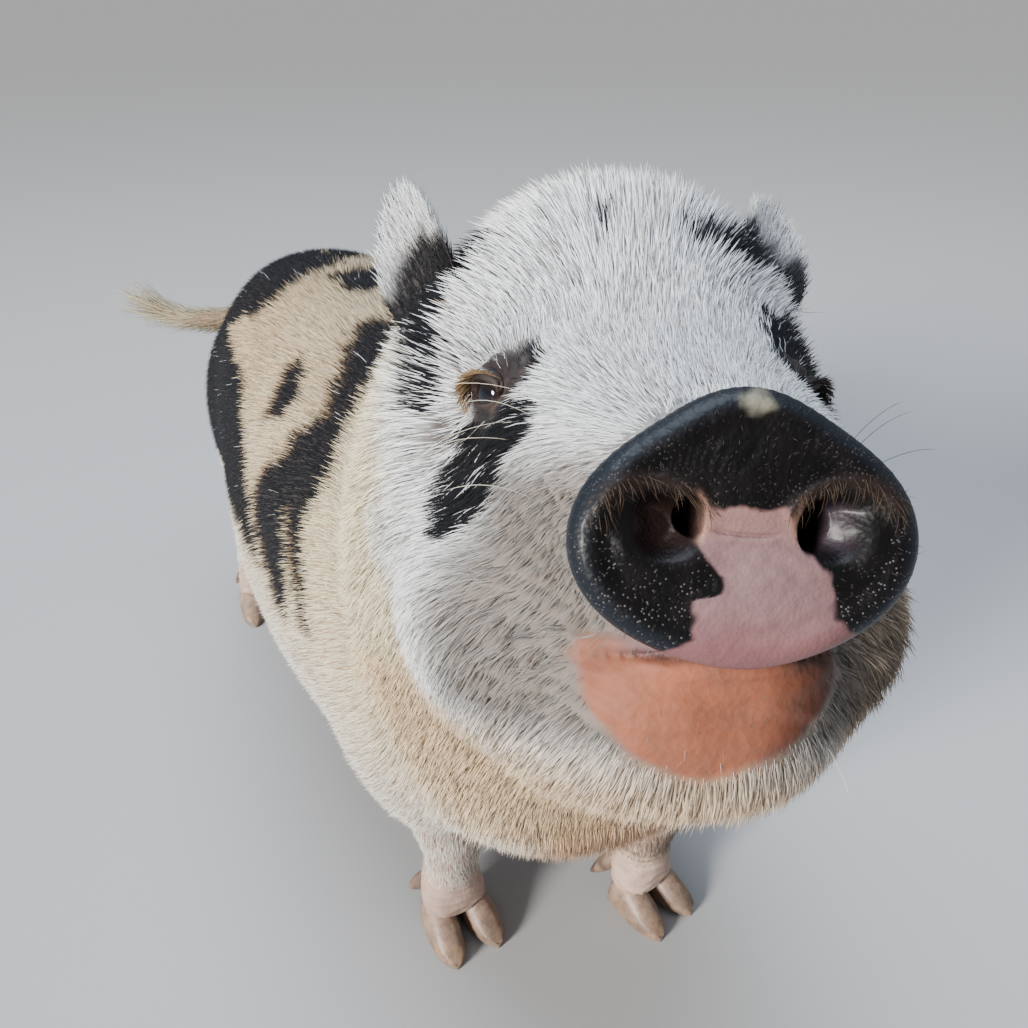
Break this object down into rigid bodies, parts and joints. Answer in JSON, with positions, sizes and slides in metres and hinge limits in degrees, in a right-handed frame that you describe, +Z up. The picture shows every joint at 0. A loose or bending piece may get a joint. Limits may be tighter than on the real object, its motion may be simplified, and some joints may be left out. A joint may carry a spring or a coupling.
{
  "type": "vietnamese pot-bellied pig",
  "caption": "Small pot-bellied pig standing on four cloven hooves, head raised and turned to its right, with a broad flat snout, short upright ears, a deep belly and a thin straight tail.",
  "frame": {"origin": "centre of the bounding box's bottom face, on the floor between the feet", "axes": "+Z up, -Y towards the pig's front, +X towards its left side; the head is turned to its right"},
  "size_m": [0.288, 0.8472, 0.5058],
  "materials": {
    "white_coat": "short white and black hair over pink and grey skin",
    "coat": "short cream and black hair over pinkish-brown skin",
    "snout_skin": "moist bare skin, black with a pink patch",
    "eye": "wet and glossy, dark brown",
    "horn": "worn brown horn"
  },
  "bodies": {
    "root": {"head": "white_coat", "ear_left": "white_coat", "ear_right": "white_coat", "neck": "coat", "torso": "coat", "tail": "coat", "leg_front_left": "coat", "leg_front_right": "coat", "leg_hind_left": "coat", "leg_hind_right": "coat", "snout": "snout_skin", "eye_left": "eye", "eye_right": "eye", "hoof_front_left_left": "horn", "dewclaw_front_left_left": "horn", "hoof_front_left_right": "horn", "dewclaw_front_left_right": "horn", "hoof_front_right_left": "horn", "dewclaw_front_right_left": "horn", "hoof_front_right_right": "horn", "dewclaw_front_right_right": "horn", "hoof_hind_left_left": "horn", "dewclaw_hind_left_left": "horn", "hoof_hind_left_right": "horn", "dewclaw_hind_left_right": "horn", "hoof_hind_right_left": "horn", "dewclaw_hind_right_left": "horn", "hoof_hind_right_right": "horn", "dewclaw_hind_right_right": "horn"}
  },
  "joints": []
}
